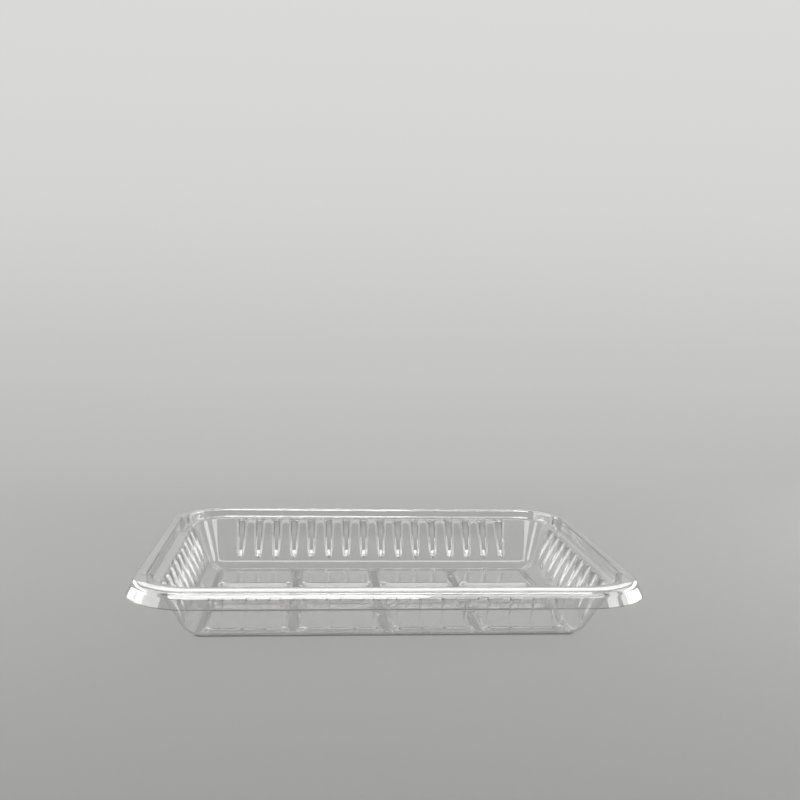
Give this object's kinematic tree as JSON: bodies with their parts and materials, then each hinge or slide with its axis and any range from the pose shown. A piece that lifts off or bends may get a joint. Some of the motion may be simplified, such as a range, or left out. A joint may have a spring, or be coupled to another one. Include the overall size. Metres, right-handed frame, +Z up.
{
  "type": "plastic food tray",
  "caption": "Shallow clear rectangular food tray with a stepped rim, a flared skirt, fluted walls and raised floor pads.",
  "frame": {"origin": "middle of the tray on the plane that it stands on", "axes": "+X along the long side, +Y across towards the far long side, +Z up out of the bowl"},
  "size_m": [0.25, 0.196, 0.032],
  "materials": {
    "clear_plastic": "clear, glossy thermoformed PET sheet"
  },
  "bodies": {
    "root": {"tray": "clear_plastic"}
  },
  "joints": []
}
